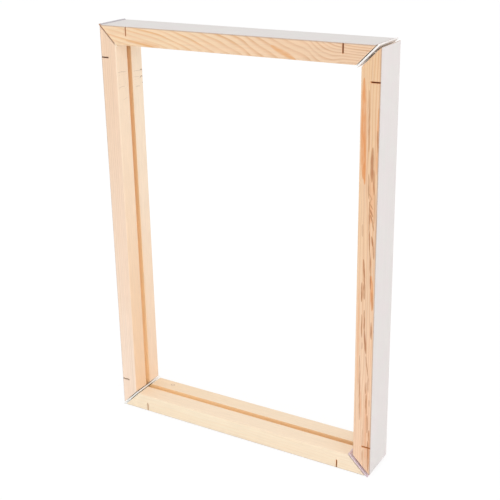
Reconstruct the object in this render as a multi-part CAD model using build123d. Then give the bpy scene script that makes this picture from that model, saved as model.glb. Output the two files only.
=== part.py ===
"""Wooden screen printing frame, standing on its short side.

Four mitred pine bars are held at the corners by white plastic connectors.
Each connector is a thin plate that lies in the mitre, with two toothed tongues
that slide in sockets in the ends of the bars.  The outer face of each bar
carries double-sided tape under a release liner, for the mesh.

Axes: X across the frame, Y from front to back, Z up.  The origin is at the
middle of the foot line, so the frame stands on the plane z = 0.
"""
from build123d import *
import math
import os

# Wooden bars
frame_width = 297.0         # over the wood, left to right
frame_height = 420.0        # over the wood, bottom to top
bar_face = 18.0             # width of a bar as seen from the front
bar_depth = 42.0            # front to back
inner_edge_radius = 1.0     # long edges beside the window
outer_edge_radius = 0.4     # long edges beside the tape
groove_width = 6.5          # groove along the middle of each inner face
groove_depth = 5.0

# Saw cuts across the outer faces, where the teeth of the tongues catch
kerf_inset = 30.0           # tip of the bar to the middle of the cut
kerf_width = 1.3
kerf_depth = 8.6

# Corner connectors
plate_thickness = 1.5
plate_inset = 0.5           # plate edge behind the front and back faces
plate_proud = 1.2           # plate edge beyond the outer faces of the wood
plate_lip = 1.8             # plate edge beyond the inner faces of the wood
tongue_width = 26.0
tongue_thickness = 2.2
tongue_tip_run = 2.0        # last tooth to the end of the tongue
tongue_tip_chamfer = 0.6
tooth_pitch = 1.0
tooth_height = 0.5
tooth_ramp = 0.8
tooth_count = 6

# Clearances
mitre_clearance = 0.1       # plate to a bar pushed right home
fit_clearance = 0.15        # tongue to socket, across its thickness
socket_play = 3.0           # further room in the socket, towards the window
side_clearance = 0.3        # tongue to socket, at each side
end_clearance = 1.0         # tongue to the bottom of the socket
catch_clearance = 0.1       # tooth to the wall of the saw cut

# Tape and release liner
tape_thickness = 0.25
liner_thickness = 0.15
tape_edge_gap = 0.5         # wood left bare at the front and back edges
tape_end_gap = 0.3          # wood left bare at each tip
liner_edge_gap = 0.1        # tape left bare round the liner

# Teeth by which each corner stands open, along X and along Z
open_teeth = {
    "bottom_left": (1, 1),
    "bottom_right": (1, 1),
    "top_left": (0, 0),
    "top_right": (1, 0),
}

# How far each upright stands off its connectors, sideways in its sockets
left_standoff = 0.0
right_standoff = socket_play

# Derived sizes
root_two = math.sqrt(2)
plate_setback = plate_thickness / 2 * root_two
bar_setback = (plate_thickness / 2 + mitre_clearance) * root_two
socket_from_face = (bar_face - groove_depth) / 2
socket_height = tongue_thickness + tooth_height + 2 * fit_clearance + socket_play
socket_outer = socket_from_face - socket_height / 2
socket_inner = socket_from_face + socket_height / 2
tongue_outer = socket_outer + fit_clearance + tooth_height
tongue_inner = tongue_outer + tongue_thickness
first_tooth = bar_setback + kerf_inset + kerf_width / 2 - catch_clearance
tongue_length = first_tooth + (tooth_count - 1) * tooth_pitch + tongue_tip_run
socket_depth = tongue_length + end_clearance - bar_setback
skin = tape_thickness + liner_thickness
left_reach = max(plate_proud - left_standoff, skin)
right_reach = max(plate_proud - right_standoff, skin)
wood_left = (left_reach - right_reach - frame_width) / 2
wood_right = wood_left + frame_width
wood_bottom = plate_proud
wood_top = wood_bottom + frame_height


def opening(corner, axis):
    """How far a corner stands open along X (axis 0) or Z (axis 1)."""
    return open_teeth[corner][axis] * tooth_pitch


def run_between(start, stop, start_opening, stop_opening):
    """Length and middle of a bar between two outer faces."""
    start += bar_setback + start_opening
    stop -= bar_setback + stop_opening
    return stop - start, (start + stop) / 2


def mitred_blank(length):
    """A bar along X, outer face at z = 0, with mitred ends and soft long edges."""
    half = length / 2
    outline = Polyline(
        (-half, 0),
        (half, 0),
        (half - bar_face, bar_face),
        (bar_face - half, bar_face),
        close=True,
    )
    blank = extrude(make_face(Plane.XZ * outline), bar_depth / 2, both=True)
    long_edges = blank.edges().filter_by(Axis.X).group_by(Axis.Z)
    blank = fillet(long_edges[-1], inner_edge_radius)
    long_edges = blank.edges().filter_by(Axis.X).group_by(Axis.Z)
    return fillet(long_edges[0], outer_edge_radius)


def cutter(length, width, bottom, top):
    """A box on the X axis, between two heights."""
    return Pos(0, 0, (bottom + top) / 2) * Box(length, width, top - bottom)


def bar(length):
    """A bar with its groove, and a saw cut and a socket at each end."""
    socket_width = tongue_width + 2 * side_clearance
    body = mitred_blank(length)
    body -= cutter(length, groove_width, bar_face - groove_depth, bar_face + 1)
    for end in (-1, 1):
        kerf = cutter(kerf_width, bar_depth + 2, -1, kerf_depth)
        body -= Pos(end * (length / 2 - kerf_inset), 0, 0) * kerf
        socket = cutter(socket_depth, socket_width, socket_outer, socket_inner)
        body -= Pos(end * (length - socket_depth) / 2, 0, 0) * socket
    return body


def tape(length):
    """Double-sided tape along the outer face of a bar."""
    width = bar_depth - 2 * tape_edge_gap
    return cutter(length - 2 * tape_end_gap, width, -tape_thickness, 0)


def liner(length):
    """Release liner over the tape."""
    width = bar_depth - 2 * (tape_edge_gap + liner_edge_gap)
    run = length - 2 * (tape_end_gap + liner_edge_gap)
    return cutter(run, width, -tape_thickness - liner_thickness, -tape_thickness)


def tongue_profile():
    """Side view of a tongue: distance along the bar, distance from its outer face."""
    tip = tongue_length
    chamfer = tongue_tip_chamfer
    points = [
        (tongue_outer, tongue_outer),
        (tongue_inner, tongue_inner),
        (tip - chamfer, tongue_inner),
        (tip, tongue_inner - chamfer),
        (tip, tongue_outer + chamfer),
        (tip - chamfer, tongue_outer),
    ]
    for tooth in reversed(range(tooth_count)):
        steep = first_tooth + tooth * tooth_pitch
        points.append((steep, tongue_outer))
        points.append((steep, tongue_outer - tooth_height))
        points.append((steep - tooth_ramp, tongue_outer))
    return points


def prism(points, depth):
    """A closed outline in the XZ plane, given depth on both sides of it."""
    outline = Polyline(*points, close=True)
    return extrude(make_face(Plane.XZ * outline), depth / 2, both=True)


def connector():
    """The bottom left connector, with the outer corner of the wood at the origin."""
    outer = -plate_proud
    inner = bar_face + plate_lip
    plate_outline = [
        (outer, outer),
        (outer + plate_setback, outer),
        (inner, inner - plate_setback),
        (inner, inner),
        (inner - plate_setback, inner),
        (outer, outer + plate_setback),
    ]
    along_x = tongue_profile()
    along_z = [(height, run) for run, height in along_x]
    plate = prism(plate_outline, bar_depth - 2 * plate_inset)
    return plate + prism(along_x, tongue_width) + prism(along_z, tongue_width)


def level_run(level):
    """Length and middle of the bottom or the top bar."""
    left_opening = opening(f"{level}_left", 0) + left_standoff
    right_opening = opening(f"{level}_right", 0) + right_standoff
    return run_between(wood_left, wood_right, left_opening, right_opening)


def upright_run(hand):
    """Length and middle of the left or the right bar."""
    low_opening = opening(f"bottom_{hand}", 1)
    high_opening = opening(f"top_{hand}", 1)
    return run_between(wood_bottom, wood_top, low_opening, high_opening)


def side_places():
    """Length and place of each bar, with its outer face turned outwards."""
    bottom_length, bottom_x = level_run("bottom")
    top_length, top_x = level_run("top")
    left_length, left_z = upright_run("left")
    right_length, right_z = upright_run("right")
    return {
        "bottom": (bottom_length, Pos(bottom_x, 0, wood_bottom)),
        "top": (top_length, Pos(top_x, 0, wood_top) * Rot(0, 180, 0)),
        "left": (left_length, Pos(wood_left, 0, left_z) * Rot(0, 90, 0)),
        "right": (right_length, Pos(wood_right, 0, right_z) * Rot(0, -90, 0)),
    }


def corner_places():
    """Place of each connector, with its tongues turned into the two bars."""
    left = wood_left + left_standoff
    right = wood_right - right_standoff
    return {
        "bottom_left": Pos(left, 0, wood_bottom),
        "bottom_right": Pos(right, 0, wood_bottom) * Rot(0, -90, 0),
        "top_right": Pos(right, 0, wood_top) * Rot(0, 180, 0),
        "top_left": Pos(left, 0, wood_top) * Rot(0, 90, 0),
    }


os.makedirs("parts", exist_ok=True)

for side, (length, place) in side_places().items():
    export_step(place * bar(length), f"parts/{side}_bar.step")
    export_step(place * tape(length), f"parts/{side}_tape.step")
    export_step(place * liner(length), f"parts/{side}_release_liner.step")

for corner, place in corner_places().items():
    export_step(place * connector(), f"parts/{corner}_connector.step")
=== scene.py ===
# %% [markdown]
# # A wooden screen printing frame
#
# A screen printing frame holds a stretched mesh.  This one has no mesh yet: four slim pine bars
# meet in loose mitres with white plastic corner connectors between them, and the outer faces carry
# double-sided tape under a release liner.  The shapes come finished from the CAD model, so this
# lesson is mostly about finishes: how to make plain planed pine look like four different pieces of
# a tree, and how to light a pale object on a pale ground.

# %% Load the frame
import math

import bpy
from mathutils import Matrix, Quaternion, Vector


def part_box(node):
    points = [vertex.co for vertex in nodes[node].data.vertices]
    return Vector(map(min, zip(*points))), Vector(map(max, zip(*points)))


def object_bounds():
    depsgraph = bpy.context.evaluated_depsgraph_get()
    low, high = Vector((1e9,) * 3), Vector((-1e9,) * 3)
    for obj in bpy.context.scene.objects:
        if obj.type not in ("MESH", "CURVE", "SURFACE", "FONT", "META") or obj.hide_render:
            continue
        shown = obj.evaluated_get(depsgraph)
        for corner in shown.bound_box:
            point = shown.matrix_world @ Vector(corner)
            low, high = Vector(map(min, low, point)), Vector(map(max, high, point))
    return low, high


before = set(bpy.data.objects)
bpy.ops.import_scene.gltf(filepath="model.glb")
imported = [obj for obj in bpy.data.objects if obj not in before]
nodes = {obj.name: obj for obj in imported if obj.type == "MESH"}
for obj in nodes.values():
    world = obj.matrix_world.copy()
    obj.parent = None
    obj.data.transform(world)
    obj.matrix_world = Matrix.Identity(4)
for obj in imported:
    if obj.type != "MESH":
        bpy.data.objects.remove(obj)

lowest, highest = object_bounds()
print("pieces:", len(nodes), "height in metres:", round(highest.z - lowest.z, 4))

# %% [markdown]
# ## The stage
#
# The frame stands on a plain pale floor.  A floor that is only lit white would have to be flooded
# with light, and that would bleach the wood.  So the floor keeps an ordinary white paint for the
# light that bounces off it, and what the camera sees of it is lifted most of the way to pure white.
# The share that isn't lifted keeps the soft shadow under the frame.


# %% Nodes in one line each
def feed(tree, socket, value):
    """Link a socket, or give it a plain value; None leaves it alone."""
    if isinstance(value, bpy.types.NodeSocket):
        tree.links.new(value, socket)
    elif value is not None:
        socket.default_value = value


def add(tree, kind, *feeds, **settings):
    """A shader node with its properties set and its sockets fed in order."""
    node = tree.nodes.new("ShaderNode" + kind)
    for name, value in settings.items():
        setattr(node, name, value)
    for socket, value in zip(node.inputs, feeds):
        feed(tree, socket, value)
    return node


def calc(tree, operation, *feeds, clamp=False):
    """One step of arithmetic on numbers or sockets."""
    return add(tree, "Math", *feeds, operation=operation, use_clamp=clamp).outputs[0]


def new_tree(name):
    """An empty material and its node tree."""
    material = bpy.data.materials.new(name)
    material.use_nodes = True
    material.node_tree.nodes.clear()
    return material, material.node_tree


def relief(tree, height, strength, distance, normal=None):
    """A surface that seems to rise and fall; distance in metres."""
    bump = add(tree, "Bump")
    feed(tree, bump.inputs["Strength"], strength)
    feed(tree, bump.inputs["Distance"], distance)
    feed(tree, bump.inputs["Height"], height)
    feed(tree, bump.inputs["Normal"], normal)
    return bump.outputs[0]


def seen_directly(tree):
    """1 where the camera looks straight at something, or sees it mirrored or through glass."""
    path = add(tree, "LightPath").outputs
    mirrored = calc(tree, "MAXIMUM", path["Is Glossy Ray"], path["Is Transmission Ray"])
    return calc(tree, "MAXIMUM", path["Is Camera Ray"], mirrored)


# %% Floor
FLOOR_SIDE = 12.0
FLOOR_LIFT = 0.8
FLOOR_GLOW = 1.06   # a little over white, to make up for the share that stays paint


def floor_paint():
    material, tree = new_tree("white_floor")
    paint = add(tree, "BsdfDiffuse", (0.9, 0.9, 0.9, 1), 1.0).outputs[0]
    white = add(tree, "Emission", (1, 1, 1, 1), FLOOR_GLOW).outputs[0]
    lift = calc(tree, "MULTIPLY", seen_directly(tree), FLOOR_LIFT)
    mixed = add(tree, "MixShader", lift, paint, white).outputs[0]
    add(tree, "OutputMaterial", mixed)
    return material


bpy.ops.mesh.primitive_plane_add(size=FLOOR_SIDE, location=(0, 0, lowest.z))
floor = bpy.context.object
floor.name = "floor"
floor.data.materials.append(floor_paint())
print("floor at", round(lowest.z, 4))

# %% [markdown]
# ## Pine
#
# All four bars are planed pine, but each was sawn from a different place in the log, and that
# decides what its faces show.  Wood is built up in yearly rings: wide pale spring wood that turns
# slowly darker and ends in a thin orange line of late wood.  Where a face cuts the rings square,
# they show as fine lines along the bar.  Where it nearly touches them, each ring spreads out into
# a broad soft band that runs slantwise off the edge.
#
# So the material works in the bar's own millimetres: `along` from its lower or left tip, `inward`
# from its taped outer face, and `deep` from the middle towards the back.  A ring number is
# worked out from these three, and its fraction says where in the year a spot of wood has grown.

# %% Measuring along a bar
MILLIMETRES = 1000.0    # in a metre
bar_low, bar_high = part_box("bottom_bar")
BAR_FACE = (bar_high[2] - bar_low[2]) * MILLIMETRES
HALF_DEPTH = (bar_high[1] - bar_low[1]) / 2 * MILLIMETRES
SOCKETS = {"RGBA": (0, 6, 7, 2), "FLOAT": (0, 2, 3, 0)}     # share, under, over, result
SEED_STEP = 7.3         # shift of the noise from one seed to the next
print("bar face:", round(BAR_FACE, 2), "mm, half depth:", round(HALF_DEPTH, 2), "mm")


def seen(red, green, blue):
    """A colour as it should look, from 0 to 255, as linear numbers."""
    parts = [value / 255 for value in (red, green, blue)]
    return (*[p / 12.92 if p <= 0.04045 else ((p + 0.055) / 1.055) ** 2.4 for p in parts], 1.0)


def blend(tree, share, under, over, kind="RGBA", way="MIX"):
    """Two colours or numbers laid over each other."""
    node = add(tree, "Mix", data_type=kind, blend_type=way)
    share_at, under_at, over_at, result_at = SOCKETS[kind]
    feed(tree, node.inputs[share_at], share)
    feed(tree, node.inputs[under_at], under)
    feed(tree, node.inputs[over_at], over)
    return node.outputs[result_at]


def slope(tree, value, start, end, low=0.0, high=1.0, soft=True):
    """Goes from low to high while value goes from start to end."""
    kind = "SMOOTHSTEP" if soft else "LINEAR"
    node = add(tree, "MapRange", value, start, end, low, high, interpolation_type=kind)
    return node.outputs[0]


def bar_place(tree, side):
    """Along, inward and deep in millimetres, for a point of a bar."""
    low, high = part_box(f"{side}_bar")
    point = add(tree, "SeparateXYZ", add(tree, "TexCoord").outputs["Object"]).outputs
    run, rise = (point[0], point[2]) if side in ("bottom", "top") else (point[2], point[0])
    run_axis, rise_axis = (0, 2) if side in ("bottom", "top") else (2, 0)
    along = calc(tree, "MULTIPLY_ADD", run, MILLIMETRES, -low[run_axis] * MILLIMETRES)
    if side in ("bottom", "left"):
        inward = calc(tree, "MULTIPLY_ADD", rise, MILLIMETRES, -low[rise_axis] * MILLIMETRES)
    else:
        inward = calc(tree, "MULTIPLY_ADD", rise, -MILLIMETRES, high[rise_axis] * MILLIMETRES)
    deep = calc(tree, "MULTIPLY", point[1], MILLIMETRES)
    length = (high[run_axis] - low[run_axis]) * MILLIMETRES
    return (along, inward, deep), length


def cloud(tree, place, lengths, seed, detail=1.0):
    """Noise from about -1 to 1, drawn out to the given lengths in millimetres."""
    parts = [calc(tree, "MULTIPLY_ADD", p, 1 / d, seed * SEED_STEP) for p, d in zip(place, lengths)]
    noise = add(tree, "TexNoise", add(tree, "CombineXYZ", *parts).outputs[0])
    noise.inputs["Scale"].default_value = 1.0
    noise.inputs["Detail"].default_value = detail
    return calc(tree, "MULTIPLY_ADD", noise.outputs[0], 4.0, -2.0)


# %% [markdown]
# The top bar's front face nearly touches the rings, so it carries broad bands that run down to the
# right.  They lie further apart at the left end, crowd together towards the right and lie flat
# past the saw cut.  A curve turns the distance along the bar into a ring number.  The other bars
# are sawn square to the rings and get straight lines.


# %% Ring numbers
TOP_BAR_RINGS = [
    (0, -1.2), (30, 0.0), (56, 1.0), (76, 2.0), (93, 3.0), (109, 4.0), (124, 5.0), (143, 6.0),
    (160, 7.0), (171, 8.0), (184, 9.0), (198, 10.0), (212, 11.0), (226, 12.0), (232, 13.0),
    (238, 14.0), (244, 15.0), (251, 16.0), (260, 16.8), (290, 17.6),
]
TOP_BAR_TILT = [
    # rings crossed per millimetre inward, along the bar
    (0, 0.22), (70, 0.22), (130, 0.17), (190, 0.14), (226, 0.18), (250, 0.30), (268, 0.42), (290, 0.44),
]


def curve(tree, value, points):
    """A smooth curve through points."""
    start, end = points[0][0], points[-1][0]
    low = min(y for _, y in points)
    high = max(y for _, y in points)
    spots = [((x - start) / (end - start), (y - low) / (high - low)) for x, y in points]
    node = add(tree, "FloatCurve", 1.0, slope(tree, value, start, end, soft=False))
    line = node.mapping.curves[0].points
    line[0].location = spots[0]
    line[1].location = spots[-1]
    for x, y in spots[1:-1]:
        line.new(x, y)
    node.mapping.update()
    return calc(tree, "MULTIPLY_ADD", node.outputs[0], high - low, low)


def slanting_rings(tree, place):
    """Ring number where a face nearly touches the rings."""
    along, inward, deep = place
    rings = curve(tree, along, TOP_BAR_RINGS)
    drop = calc(tree, "MULTIPLY", inward, curve(tree, along, TOP_BAR_TILT))
    rings = calc(tree, "SUBTRACT", rings, drop)
    rings = calc(tree, "MULTIPLY_ADD", deep, 0.6, rings)
    waver = cloud(tree, place, (52, 16, 24), seed=3)
    return calc(tree, "MULTIPLY_ADD", waver, 0.22, rings)


def straight_rings(across, through, drift, waver, seed):
    """Ring numbers where the faces cut the rings square; spacings in millimetres."""
    def rings(tree, place):
        along, inward, deep = place
        number = calc(tree, "MULTIPLY", inward, 1 / across)
        number = calc(tree, "MULTIPLY_ADD", deep, 1 / through, number)
        number = calc(tree, "MULTIPLY_ADD", along, 1 / drift, number)
        shift = cloud(tree, place, (95, 9, 14), seed)
        return calc(tree, "MULTIPLY_ADD", shift, waver, number)
    return rings


# %% [markdown]
# The right bar has a darker heart grain on its front: long spindle-shaped flecks where a wavy ring
# only just breaks through the planed face.  Each fleck is listed by where it starts and ends, how
# wide it is and how strongly it shows.


# %% Flecks on the right bar
RIGHT_BAR_STREAKS = [
    # from (along, inward), to (along, inward), half width, strength
    ((300, 14.0), (390, 15.0), 3.0, 0.8),
    ((295, 12.5), (350, 14.0), 2.0, 0.95),
    ((305, 1.0), (365, 1.0), 1.0, 0.65),
    ((175, 2.0), (210, 3.5), 1.75, 0.8),
    ((260, 5.0), (310, 5.5), 2.25, 0.45),
    ((10, 1.5), (50, 1.5), 1.25, 0.5),
    ((60, 10.5), (90, 11.5), 1.0, 0.4),
    ((90, 14.5), (205, 15.5), 1.0, 0.4),
    ((15, 5.0), (95, 5.5), 2.0, 0.35),
]
RIGHT_BAR_FLECKS = [
    ((325, 9.0), (380, 10.0), 1.0, 0.6),
    ((325, 1.0), (345, 1.0), 0.75, 0.75),
    ((298, 5.5), (330, 5.5), 1.75, 0.8),
    ((304, 7.0), (322, 6.0), 0.5, 0.6),
    ((282, 8.0), (306, 8.5), 0.75, 0.7),
    ((286, 3.0), (310, 4.0), 1.0, 0.75),
    ((282, 4.5), (288, 8.0), 0.75, 0.6),
    ((276, 7.5), (284, 5.0), 0.75, 0.55),
    ((273, 3.5), (280, 7.5), 0.75, 0.7),
    ((266, 3.5), (274, 7.0), 1.0, 0.75),
    ((260, 3.0), (268, 6.0), 1.0, 0.7),
    ((253, 2.5), (262, 4.0), 0.75, 0.65),
    ((260, 1.5), (288, 2.0), 0.5, 0.45),
    ((252, 7.0), (280, 7.0), 0.75, 0.85),
    ((232, 5.5), (254, 7.0), 0.75, 0.85),
    ((210, 4.5), (234, 5.5), 0.75, 0.85),
    ((196, 4.0), (212, 4.5), 0.75, 0.8),
    ((238, 2.5), (248, 4.5), 1.25, 0.85),
    ((226, 1.5), (240, 2.5), 1.0, 0.65),
    ((200, 10.0), (225, 11.5), 1.0, 0.95),
    ((246, 13.0), (258, 13.5), 1.0, 0.4),
    ((182, 12.5), (202, 12.5), 1.0, 0.95),
    ((185, 10.0), (203, 10.0), 1.25, 0.75),
    ((176, 1.5), (194, 2.5), 0.75, 0.6),
    ((152, 9.0), (175, 9.5), 0.75, 0.85),
    ((130, 7.0), (155, 9.0), 1.25, 0.9),
    ((146, 11.5), (170, 12.0), 0.75, 0.85),
    ((146, 2.0), (164, 2.5), 1.0, 0.85),
    ((134, 11.0), (142, 11.0), 0.75, 0.55),
    ((106, 4.0), (128, 7.0), 0.75, 0.8),
    ((90, 3.5), (107, 4.0), 0.75, 0.65),
    ((58, 12.0), (128, 13.0), 1.0, 0.6),
    ((88, 6.0), (101, 6.0), 1.0, 0.6),
    ((66, 5.0), (88, 5.5), 1.0, 0.75),
    ((75, 2.0), (83, 2.5), 0.75, 0.5),
    ((46, 3.5), (66, 4.0), 1.25, 0.65),
    ((38, 1.5), (50, 2.0), 0.75, 0.65),
    ((26, 8.5), (50, 8.5), 0.5, 0.5),
    ((4, 2.0), (38, 2.5), 1.25, 0.75),
    ((14, 8.0), (26, 8.0), 1.0, 0.5),
]

# Two broad warm, darker patches on the top bar, drawn in the same way
TOP_BAR_BLOTCHES = [
    ((190, 7.0), (215, 17.5), 3.0, 0.75),
    ((30, 13.0), (70, 16.5), 2.5, 0.5),
]


FLECK_WAVER = 0.3       # how far a fleck's outline wanders, in millimetres
FLECK_LEAN = 0.11       # how far it moves inward for each millimetre of depth


def fleck(tree, place, start, end, half_width, strength):
    """A long spindle on the front face, soft at its rim."""
    along, inward, _ = place
    run = slope(tree, along, start[0], end[0], soft=False)
    line = calc(tree, "MULTIPLY_ADD", run, end[1] - start[1], start[1])
    swell = calc(tree, "MULTIPLY", run, calc(tree, "SUBTRACT", 1.0, run))
    swell = calc(tree, "MULTIPLY_ADD", calc(tree, "SQRT", swell), 2.0 * half_width, 0.001)
    off = calc(tree, "ABSOLUTE", calc(tree, "SUBTRACT", inward, line))
    rim = slope(tree, calc(tree, "DIVIDE", off, swell), 1.25, 0.35)
    return calc(tree, "MULTIPLY", rim, strength)


def flecks(tree, place, spindles):
    """All the flecks of a bar, with a wavy outline."""
    along, inward, deep = place
    waver = cloud(tree, place, (11, 5, 9), seed=5, detail=2.0)
    inward = calc(tree, "MULTIPLY_ADD", waver, FLECK_WAVER, inward)
    drift = calc(tree, "ADD", deep, HALF_DEPTH)
    inward = calc(tree, "MULTIPLY_ADD", drift, FLECK_LEAN, inward)
    total = None
    for spindle in spindles:
        one = fleck(tree, (along, inward, deep), *spindle)
        total = one if total is None else calc(tree, "MAXIMUM", total, one)
    broken = slope(tree, cloud(tree, place, (9, 1.6, 2), seed=6), -0.9, 0.5, 0.62, 1.0)
    return calc(tree, "MULTIPLY", total, broken)


# %% [markdown]
# Small birthmarks: where a thin twig or bark pocket once touched the wood, a few grey-brown curls
# cross the grain.  They lie on the inner face of the left bar near its top, and a tiny pin knot
# sits on the bottom bar.


# %% Curls and pin knots
LEFT_BAR_CURLS = [
    # along at the start and the end, deep from, deep to, bow, thickness, strength
    (372.0, 371.0, -20.0, -6.5, 0.5, 0.75, 0.5),
    (356.5, 357.0, -20.0, -9.5, 0.5, 1.25, 0.25),
    (343.5, 345.5, -14.0, -6.0, -0.25, 0.5, 0.35),
    (369.5, 368.0, 5.0, 20.5, 0.25, 0.5, 0.45),
    (369.0, 368.0, 16.5, 21.0, 0.5, 1.75, 0.75),
    (363.5, 362.0, 5.0, 16.0, 0.25, 0.5, 0.4),
    (360.5, 361.0, 15.5, 21.0, 1.75, 1.25, 1.0),
    (355.5, 355.0, 19.0, 21.0, 0.25, 1.25, 0.85),
    (353.0, 352.5, 8.0, 15.5, 0.5, 1.75, 0.25),
]


def inner_face(tree, inward):
    """1 on the face that looks into the window."""
    return slope(tree, inward, BAR_FACE - 3.0, BAR_FACE - 0.5)


def curl(tree, place, first, last, start, end, bow, thickness, strength):
    """A thin bowed line across the grain of an inner face."""
    along, inward, deep = place
    run = slope(tree, deep, start, end, soft=False)
    hump = calc(tree, "MULTIPLY", run, calc(tree, "SUBTRACT", 1.0, run))
    level = calc(tree, "MULTIPLY_ADD", run, last - first, first)
    line = calc(tree, "MULTIPLY_ADD", hump, bow * 4, level)
    off = calc(tree, "ABSOLUTE", calc(tree, "SUBTRACT", along, line))
    thick = calc(tree, "MULTIPLY_ADD", calc(tree, "SQRT", hump), thickness, 0.02)
    rim = slope(tree, calc(tree, "DIVIDE", off, thick), 1.2, 0.2)
    return calc(tree, "MULTIPLY", rim, strength)


def curls(tree, place, marks):
    """All the curls of a bar, only on its inner face."""
    along, inward, deep = place
    waver = cloud(tree, place, (5, 5, 6), seed=8, detail=2.0)
    along = calc(tree, "MULTIPLY_ADD", waver, 0.25, along)
    total = None
    for mark in marks:
        one = curl(tree, (along, inward, deep), *mark)
        total = one if total is None else calc(tree, "MAXIMUM", total, one)
    return calc(tree, "MULTIPLY", total, inner_face(tree, inward))


def pin_knot(at, depth, radius):
    """A tiny knot on an inner face: a grey ring round a pale heart."""
    def mark(tree, place):
        along, inward, deep = place
        one = calc(tree, "SUBTRACT", along, at)
        two = calc(tree, "SUBTRACT", deep, depth)
        far = add(tree, "CombineXYZ", one, calc(tree, "MULTIPLY", two, 1.3), 0.0)
        far = add(tree, "VectorMath", far.outputs[0], operation="LENGTH").outputs["Value"]
        ring = calc(tree, "ABSOLUTE", calc(tree, "SUBTRACT", far, radius))
        ring = slope(tree, ring, 1.0, 0.0, 0.0, 0.6)
        return calc(tree, "MULTIPLY", ring, inner_face(tree, inward))
    return mark


# %% [markdown]
# The saw leaves its own marks.  The cuts across the outer faces are narrow; their walls are painted
# a darker brown, in a tone for each end of each bar, which is painted shade inside the cuts, and a
# faint darker halo lies round the mouth.  The groove down the middle of the inner face was milled by
# a cutter that tears a little, so its wood is rougher; its darker, more orange tone is painted shade
# of the hollow.  The mitred ends are painted very pale, painted light that brightens the shaded gaps
# between the bars.


# %% Saw cuts, grooves and mitred ends
CUT_INSET = 30.0
CUT_HALF_WIDTH = 0.65
CUT_DEPTH = 8.6
CUT_HALO = 1.6          # how far the scorching reaches beside a cut
HALO_STRENGTH = 0.12
GROOVE_DEPTH = 5.0
GROOVE_HALF_WIDTH = 3.25


def painted_cut_shade(tree, place, length):
    """1 in the two saw cuts, where their painted shade goes, with a faint halo beside them."""
    along, inward, _ = place
    middle = calc(tree, "ABSOLUTE", calc(tree, "SUBTRACT", along, length / 2))
    off = calc(tree, "ABSOLUTE", calc(tree, "SUBTRACT", middle, length / 2 - CUT_INSET))
    inside = slope(tree, off, CUT_HALF_WIDTH + 0.25, CUT_HALF_WIDTH)
    halo = slope(tree, off, CUT_HALF_WIDTH + CUT_HALO, CUT_HALF_WIDTH, 0.0, HALO_STRENGTH)
    reach = slope(tree, inward, CUT_DEPTH + 0.9, CUT_DEPTH)
    return calc(tree, "MULTIPLY", calc(tree, "MAXIMUM", inside, halo), reach)


def groove_share(tree, place):
    """1 on the walls and floor of the groove."""
    _, inward, deep = place
    off = calc(tree, "ABSOLUTE", deep)
    narrow = slope(tree, off, GROOVE_HALF_WIDTH + 0.35, GROOVE_HALF_WIDTH - 0.05)
    floor_at = BAR_FACE - GROOVE_DEPTH
    return calc(tree, "MULTIPLY", narrow, slope(tree, inward, floor_at - 0.5, floor_at - 0.1))


def end_share(tree, side):
    """1 on the mitred ends."""
    normal = add(tree, "SeparateXYZ", add(tree, "TexCoord").outputs["Normal"]).outputs
    lean = normal[0] if side in ("bottom", "top") else normal[2]
    return slope(tree, calc(tree, "ABSOLUTE", lean), 0.45, 0.65)


# %% Grain
def late_wood(tree, place, number, contrast, seed):
    """How far a spot is late wood, from its ring number; some years are stronger than others."""
    season = calc(tree, "FRACT", number)
    ripen = slope(tree, season, 0.3, 0.84)
    stop = slope(tree, season, 1.0, 0.86)
    ripe = calc(tree, "MULTIPLY", ripen, stop)
    year = calc(tree, "FLOOR", number)
    luck = add(tree, "TexWhiteNoise", None, year, noise_dimensions="1D").outputs["Value"]
    ripe = calc(tree, "MULTIPLY", ripe, slope(tree, luck, 0.0, 1.0, 0.5, 1.0))
    worn = slope(tree, cloud(tree, place, (60, 7, 9), seed + 11), -1.2, 1.2, 0.55, 1.1)
    return calc(tree, "MULTIPLY", calc(tree, "MULTIPLY", ripe, worn), contrast)


def painted_inner_light(tree, place, end, front_lip_light, back_lip_light, colour):
    """Painted light and shade on the inner face: a tone of its own on each side of the groove."""
    _, inward, deep = place
    tones = [blend(tree, end, seen(*low), seen(*high)) for low, high in (front_lip_light, back_lip_light)]
    lip = blend(tree, slope(tree, deep, 2.0, 8.0), *tones)
    inside = slope(tree, inward, BAR_FACE - 1.0, BAR_FACE - 0.3, 0.0, 0.82)
    return blend(tree, inside, colour, lip)


def fine_grain(tree, fibre, vessel, colour):
    """Fibres and resin canals darken the wood a little."""
    shade = calc(tree, "MULTIPLY_ADD", fibre, 0.055, 1.0)
    shade = calc(tree, "MULTIPLY_ADD", vessel, 0.03, shade)
    grey = add(tree, "CombineColor", shade, shade, shade).outputs[0]
    colour = blend(tree, 1.0, colour, grey, way="MULTIPLY")
    canal = slope(tree, vessel, 1.05, 1.45, 0.0, 0.35)
    return blend(tree, canal, colour, seen(176, 120, 76))


PLANER_STEP = 2.9       # radians of the planer's ripple for each millimetre along


def wood_relief(tree, along, ripe, fibre, vessel, groove_shade_and_tear):
    """Fibres, late wood and planer marks that stand out, over slightly rounded edges."""
    planer = calc(tree, "SINE", calc(tree, "MULTIPLY", along, PLANER_STEP))
    height = calc(tree, "MULTIPLY_ADD", fibre, 0.5, calc(tree, "MULTIPLY", planer, 0.12))
    height = calc(tree, "MULTIPLY_ADD", ripe, 0.6, height)
    height = calc(tree, "MULTIPLY_ADD", calc(tree, "MULTIPLY", vessel, groove_shade_and_tear), 1.2, height)
    soft_edge = add(tree, "Bevel", 0.0002).outputs[0]
    return relief(tree, height, 0.25, 0.0001, soft_edge)


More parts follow.
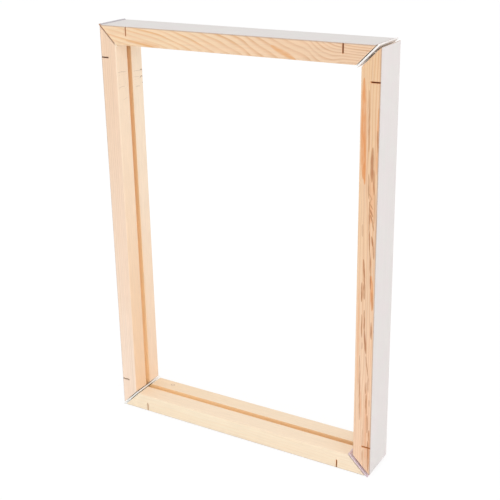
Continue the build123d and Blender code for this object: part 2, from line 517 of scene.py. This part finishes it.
# %% The pine itself
def pine(side, rings, pale, dark, contrast, flush, front_lip_light, back_lip_light, cut_shade_tones, rim,
         stripe, marks=(), seed=1):
    """Planed pine for one bar.

    rings gives the ring number, pale and dark are the spring and late wood at the two ends of
    the bar; the ends differ partly in the wood's own tone and partly in painted light, which makes
    the bars lighter towards their lower and left ends.  contrast is how far the late wood shows,
    and flush warms the bar in broad patches.  front_lip_light and back_lip_light are painted light and
    shade on the inner face on both sides of the groove, and burn is painted shade in the saw cuts, also
    from end to end.  rim is how far the outer edge is greyed, painted shade where the tape meets
    the wood, and stripe is (share, colour) of long greyish streaks.  marks are (share, colour)
    layers that lie on top.
    """
    material, tree = new_tree(f"pine_{side}")
    place, length = bar_place(tree, side)
    along, inward, _ = place
    end = slope(tree, along, 0.0, length)

    ripe = late_wood(tree, place, rings(tree, place), contrast, seed)
    # Lighter towards the lower and left ends: partly the wood's own tone, partly painted light.
    spring = blend(tree, end, seen(*pale[0]), seen(*pale[1]))
    late = blend(tree, end, seen(*dark[0]), seen(*dark[1]))
    colour = blend(tree, ripe, spring, late)

    patch = slope(tree, cloud(tree, place, (120, 14, 18), seed + 21), -0.6, 1.4, 0.0, 0.5)
    colour = blend(tree, patch, colour, seen(*flush))
    streak = cloud(tree, place, (150, 1.2, 2.0), seed + 51, detail=2.0)
    colour = blend(tree, slope(tree, streak, 0.0, 1.0, 0.0, stripe[0]), colour, seen(*stripe[1]))
    colour = painted_inner_light(tree, place, end, front_lip_light, back_lip_light, colour)

    fibre = cloud(tree, place, (22, 0.45, 0.6), seed + 31, detail=3.0)
    vessel = cloud(tree, place, (7, 0.22, 0.3), seed + 41, detail=1.0)
    colour = fine_grain(tree, fibre, vessel, colour)
    for share, tone in marks:
        colour = blend(tree, share(tree, place), colour, seen(*tone))

    # The groove gets a darker, more orange tone, which is painted shade of its hollow; it is also
    # rougher.
    groove_shade_and_tear = groove_share(tree, place)
    groove_shade_tone = blend(tree, end, seen(254, 217, 162), seen(242, 200, 144))
    colour = blend(tree, calc(tree, "MULTIPLY", groove_shade_and_tear, 0.7), colour, groove_shade_tone)
    # Painted light: the mitred ends are painted very pale, which brightens the shaded gaps between the
    # bars.
    end_light_share = end_share(tree, side)
    colour = blend(tree, calc(tree, "MULTIPLY", end_light_share, 0.9), colour, seen(255, 240, 222))
    # Painted shade: a greyish band along the outer edge of the wood, where the tape meets it.
    rim_shade_share = slope(tree, inward, 0.85, 0.4, 0.0, rim)
    colour = blend(tree, rim_shade_share, colour, seen(172, 146, 132))
    # Painted shade in the saw cuts, in a tone set for each end of each bar.
    cut_shade_colour = blend(tree, end, seen(*cut_shade_tones[0]), seen(*cut_shade_tones[1]))
    colour = blend(tree, painted_cut_shade(tree, place, length), colour, cut_shade_colour)

    rough = calc(tree, "MULTIPLY_ADD", fibre, 0.06, 0.56)
    rough = calc(tree, "MULTIPLY_ADD", ripe, -0.1, rough)
    rough = calc(tree, "ADD", rough, calc(tree, "MULTIPLY", groove_shade_and_tear, 0.2), clamp=True)

    body = add(tree, "BsdfPrincipled", colour)
    feed(tree, body.inputs["Roughness"], rough)
    feed(tree, body.inputs["Specular IOR Level"], 0.3)
    feed(tree, body.inputs["Normal"], wood_relief(tree, along, ripe, fibre, vessel, groove_shade_and_tear))
    add(tree, "OutputMaterial", body.outputs[0])
    return material


def dress(node, material):
    """Puts a material on a CAD node in place of its plain one."""
    nodes[node].data.materials.clear()
    nodes[node].data.materials.append(material)


# %% Four bars
# Besides the wood's own tones, front_lip_light and back_lip_light paint light and shade on the inner
# faces, burn paints shade in the saw cuts and rim paints shade along the taped edge.
dress("top_bar", pine(
    "top", slanting_rings, ((249, 221, 185), (238, 205, 173)), ((234, 176, 108), (206, 150, 105)),
    contrast=1.0, flush=(243, 206, 172), front_lip_light=((246, 216, 184), (242, 208, 172)),
    back_lip_light=((246, 216, 184), (242, 208, 172)), cut_shade_tones=((236, 188, 146), (208, 142, 92)), rim=0.5,
    stripe=(0.2, (240, 200, 176)), seed=1,
    marks=[(lambda tree, place: flecks(tree, place, TOP_BAR_BLOTCHES), (232, 172, 116))],
))
dress("right_bar", pine(
    "right", straight_rings(2.5, 2.6, 900, 0.6, seed=4),
    ((250, 217, 188), (238, 202, 162)), ((226, 173, 130), (217, 160, 112)),
    contrast=0.8, flush=(244, 200, 166), front_lip_light=((248, 216, 184), (244, 208, 172)),
    back_lip_light=((248, 216, 184), (244, 208, 172)), cut_shade_tones=((230, 160, 96), (226, 152, 92)), rim=0.5,
    stripe=(0.5, (222, 186, 158)), seed=2,
    marks=[
        (lambda tree, place: flecks(tree, place, RIGHT_BAR_STREAKS), (228, 150, 90)),
        (lambda tree, place: flecks(tree, place, RIGHT_BAR_FLECKS), (182, 117, 74)),
    ],
))
dress("left_bar", pine(
    "left", straight_rings(2.4, 2.1, 1400, 0.4, seed=6),
    ((255, 232, 212), (246, 215, 187)), ((246, 214, 188), (228, 192, 160)),
    contrast=0.55, flush=(250, 218, 190), front_lip_light=((247, 208, 168), (255, 236, 212)),
    back_lip_light=((252, 222, 193), (255, 240, 218)), cut_shade_tones=((228, 204, 180), (214, 176, 150)), rim=0.4,
    stripe=(0.3, (224, 198, 172)), seed=3,
    marks=[(lambda tree, place: curls(tree, place, LEFT_BAR_CURLS), (170, 138, 106))],
))
dress("bottom_bar", pine(
    "bottom", straight_rings(3.4, 2.8, 260, 0.5, seed=7),
    ((255, 240, 214), (254, 236, 210)), ((248, 222, 187), (246, 216, 182)),
    contrast=0.4, flush=(253, 230, 200), front_lip_light=((251, 229, 202), (254, 234, 208)),
    back_lip_light=((249, 225, 193), (254, 234, 208)), cut_shade_tones=((248, 216, 180), (236, 182, 124)), rim=0.3,
    stripe=(0.15, (240, 216, 192)), seed=5,
    marks=[(pin_knot(40.5, 13.2, 2.0), (178, 156, 146))],
))
print("bars dressed:", [node for node in nodes if node.endswith("_bar")])

# %% [markdown]
# ## Tape and release liner
#
# The mesh will be folded round the outside and pressed on double-sided tape.  Until then the glue
# is covered by a release liner: thin silicone-coated paper with a satin face, pulled off a roll,
# so what little unevenness it has runs lengthwise.  Of the tape itself only the edge shows; its
# grey is partly dust caught on the cut adhesive and partly painted shade of the thin line where
# tape meets wood.


# %% Liner and tape
def strip_place(tree):
    """A point in millimetres, straight from the frame."""
    point = add(tree, "SeparateXYZ", add(tree, "TexCoord").outputs["Object"]).outputs
    return [calc(tree, "MULTIPLY", part, MILLIMETRES) for part in point[:3]]


def coated_paper(name, tone, run_axis, seed):
    """Satin paper with lengthwise streaks, a cloudy sheen and gentle waves."""
    material, tree = new_tree(name)
    place = strip_place(tree)
    lengths = [2.2, 2.2, 2.2]
    lengths[run_axis] = 160.0
    streak = cloud(tree, place, lengths, seed, detail=2.0)
    mottle = cloud(tree, place, (16, 16, 16), seed + 1, detail=2.0)
    fine = cloud(tree, place, (0.5, 0.5, 0.5), seed + 2)
    shade = calc(tree, "MULTIPLY_ADD", streak, 0.014, 1.0)
    shade = calc(tree, "MULTIPLY_ADD", mottle, 0.014, shade)
    grey = add(tree, "CombineColor", shade, shade, shade).outputs[0]
    warm = slope(tree, mottle, -0.8, 0.8, 0.0, 0.5)
    colour = blend(tree, warm, seen(*tone), seen(tone[0], tone[1] - 5, tone[2] - 2))
    colour = blend(tree, 1.0, colour, grey, way="MULTIPLY")
    wave = cloud(tree, place, (30, 30, 30), seed + 3)
    height = calc(tree, "MULTIPLY_ADD", fine, 0.04, wave)
    body = add(tree, "BsdfPrincipled", colour)
    feed(tree, body.inputs["Roughness"], calc(tree, "MULTIPLY_ADD", mottle, 0.05, 0.42))
    feed(tree, body.inputs["Specular IOR Level"], 0.4)
    feed(tree, body.inputs["Normal"], relief(tree, height, 0.3, 0.0004))
    add(tree, "OutputMaterial", body.outputs[0])
    return material


def glue_tape(name, seed):
    """Greyish adhesive: caught dust, and painted shade of the line where tape meets wood."""
    material, tree = new_tree(name)
    place = strip_place(tree)
    dust_and_shade = slope(tree, cloud(tree, place, (1.4, 1.4, 1.4), seed, detail=3.0), 0.1, 0.9)
    # The grey is partly dust and partly painted shade.
    colour = blend(tree, dust_and_shade, seen(214, 201, 192), seen(178, 166, 158))
    body = add(tree, "BsdfPrincipled", colour)
    feed(tree, body.inputs["Roughness"], slope(tree, dust_and_shade, 0.0, 1.0, 0.35, 0.7))
    feed(tree, body.inputs["Normal"], relief(tree, dust_and_shade, 0.4, 0.0001))
    add(tree, "OutputMaterial", body.outputs[0])
    return material


LINER_TONES = {
    "top": (226, 222, 218), "right": (228, 223, 220), "left": (226, 223, 219),
    "bottom": (226, 223, 219),
}
for number, (side, tone) in enumerate(LINER_TONES.items()):
    run_axis = 0 if side in ("bottom", "top") else 2
    paper = coated_paper(f"liner_{side}", tone, run_axis, seed=number * 5 + 2)
    dress(f"{side}_release_liner", paper)
    dress(f"{side}_tape", glue_tape(f"glue_{side}", seed=number + 40))
print("strips dressed:", len(LINER_TONES) * 2)

# %% [markdown]
# ## Corner connectors
#
# The connectors are moulded in soft white plastic.  Moulded plastic is never one flat colour: it
# is a touch milky, slightly mottled where it cooled unevenly, its skin carries the fine grain of
# the mould, and handling leaves scuffs that catch dirt.


# %% Moulded plastic
# Where the lip's and the front edge's painted light and shade begin and end.
LIP_OUTER, LIP_INNER = 132.0, 130.4         # millimetres from the middle of the frame, sideways
FRONT_START, FRONT_FULL = -18.6, -20.2      # millimetres from the middle of the depth


def moulded_plastic(name, tone, front_painted_light, lip_painted_light, seed):
    """Pale polypropylene with a fine skin and a few scuffs.

    The front edge has a tone of its own, and so has the lip that stands out into the window;
    with the whole tone, these are painted light and shade for how the light falls at each corner.
    """
    material, tree = new_tree(name)
    place = strip_place(tree)
    cool = cloud(tree, place, (14, 14, 14), seed, detail=2.0)
    skin = cloud(tree, place, (0.35, 0.35, 0.35), seed + 1)
    scuff = cloud(tree, place, (6, 1.1, 6), seed + 2, detail=4.0)
    scuffed = slope(tree, scuff, 0.75, 1.35, 0.0, 0.5)
    milky = [part - 8 for part in tone]
    dirty = [part - 34 for part in tone]
    colour = blend(tree, slope(tree, cool, -0.8, 0.8), seen(*tone), seen(*milky))
    colour = blend(tree, scuffed, colour, seen(*dirty))
    # Painted shade and light on the front edge, then on the lip.
    colour = blend(tree, slope(tree, place[1], FRONT_START, FRONT_FULL), colour, seen(*front_painted_light))
    sideways = calc(tree, "ABSOLUTE", place[0])
    colour = blend(tree, slope(tree, sideways, LIP_OUTER, LIP_INNER), colour, seen(*lip_painted_light))
    soft_edge = add(tree, "Bevel", 0.00025).outputs[0]
    height = calc(tree, "MULTIPLY_ADD", scuffed, -1.5, skin)
    body = add(tree, "BsdfPrincipled", colour)
    feed(tree, body.inputs["Roughness"], calc(tree, "MULTIPLY_ADD", scuffed, 0.3, 0.42))
    feed(tree, body.inputs["Subsurface Weight"], 0.25)
    feed(tree, body.inputs["Subsurface Radius"], (1.0, 0.9, 0.9))
    feed(tree, body.inputs["Subsurface Scale"], 0.0012)
    feed(tree, body.inputs["Normal"], relief(tree, height, 0.25, 0.00005, soft_edge))
    add(tree, "OutputMaterial", body.outputs[0])
    return material


# The tones of each corner are painted light and shade of one white plastic: lit corners near white,
# shaded ones lilac and grey.  The top left front edge is painted shade of its mitre gap, its lip
# painted light.
PLASTIC_LIGHT_AND_SHADE = {
    # the whole, the front edge, the lip
    "bottom_left": ((255, 252, 244), (255, 253, 246), (255, 252, 248)),
    "bottom_right": ((236, 218, 226), (228, 208, 216), (226, 208, 214)),
    "top_left": ((196, 190, 195), (184, 142, 114), (255, 232, 206)),
    "top_right": ((252, 247, 245), (255, 251, 249), (255, 251, 249)),
}
for number, (corner, tones) in enumerate(PLASTIC_LIGHT_AND_SHADE.items()):
    plastic = moulded_plastic(f"plastic_{corner}", *tones, number * 4 + 60)
    dress(f"{corner}_connector", plastic)
print("connectors dressed:", len(PLASTIC_LIGHT_AND_SHADE))

# %% [markdown]
# ## Light and camera
#
# The world is the main light: an even white dome shows every colour about as it is written.  Two
# large soft lamps, one in front and one to the right, add a little shape, so that the faces
# turned to them are brighter than the faces turned away.  The camera stands to the right of the
# frame and above it, and looks down, so that three sides of the outside and two of the inside
# show.

# %% World
WORLD_FILL = 0.88

world = bpy.data.worlds.new("soft_room")
bpy.context.scene.world = world
world.use_nodes = True
world.node_tree.nodes.clear()
sky = world.node_tree
fill = add(sky, "Background", (1, 1, 1, 1), WORLD_FILL).outputs[0]
white = add(sky, "Background", (1, 1, 1, 1), 1.0).outputs[0]
room = add(sky, "MixShader", seen_directly(sky), fill, white).outputs[0]
add(sky, "OutputWorld", room)
bpy.context.scene.view_settings.view_transform = "Standard"

# %% Lamps
centre = (lowest + highest) / 2


def soft_lamp(name, place, side, power):
    """A square area lamp that faces the middle of the frame."""
    lamp = bpy.data.lights.new(name, "AREA")
    lamp.shape = "SQUARE"
    lamp.size = side
    lamp.energy = power
    body = bpy.data.objects.new(name, lamp)
    bpy.context.scene.collection.objects.link(body)
    body.location = place
    body.rotation_mode = "QUATERNION"
    body.rotation_quaternion = (centre - body.location).to_track_quat("-Z", "Y")
    return body


LAMPS = [
    # name, place, side of the square, power
    ("front_softbox", (0.5, -1.7, 0.9), 1.3, 4.5),
    ("side_softbox", (1.9, -0.5, 0.5), 1.3, 6.0),
]
for name, place, side, power in LAMPS:
    soft_lamp(name, Vector(place), side, power)
print("lamps:", [lamp[0] for lamp in LAMPS])

# %% Camera
CAMERA_TURN = math.radians(30.50)
CAMERA_DROP = math.radians(19.66)
CAMERA_ROLL = math.radians(-0.98)
CAMERA_REACH = 0.974
AIM_OFFSET = Vector((0.0016, 0.0082, 0.0180))

back = Vector((
    math.sin(CAMERA_TURN) * math.cos(CAMERA_DROP),
    -math.cos(CAMERA_TURN) * math.cos(CAMERA_DROP),
    math.sin(CAMERA_DROP),
))
camera_data = bpy.data.cameras.new("camera")
camera_data.sensor_width = 36.0
camera_data.lens = 70.5
camera_data.shift_y = -0.05
camera = bpy.data.objects.new("camera", camera_data)
bpy.context.scene.collection.objects.link(camera)
camera.rotation_mode = "QUATERNION"
camera.location = centre + AIM_OFFSET + back * CAMERA_REACH
level = (-back).to_track_quat("-Z", "Y")
camera.rotation_quaternion = level @ Quaternion((0, 0, 1), CAMERA_ROLL)
bpy.context.scene.camera = camera
print("camera", round(CAMERA_REACH, 3), "m from the point it looks at")
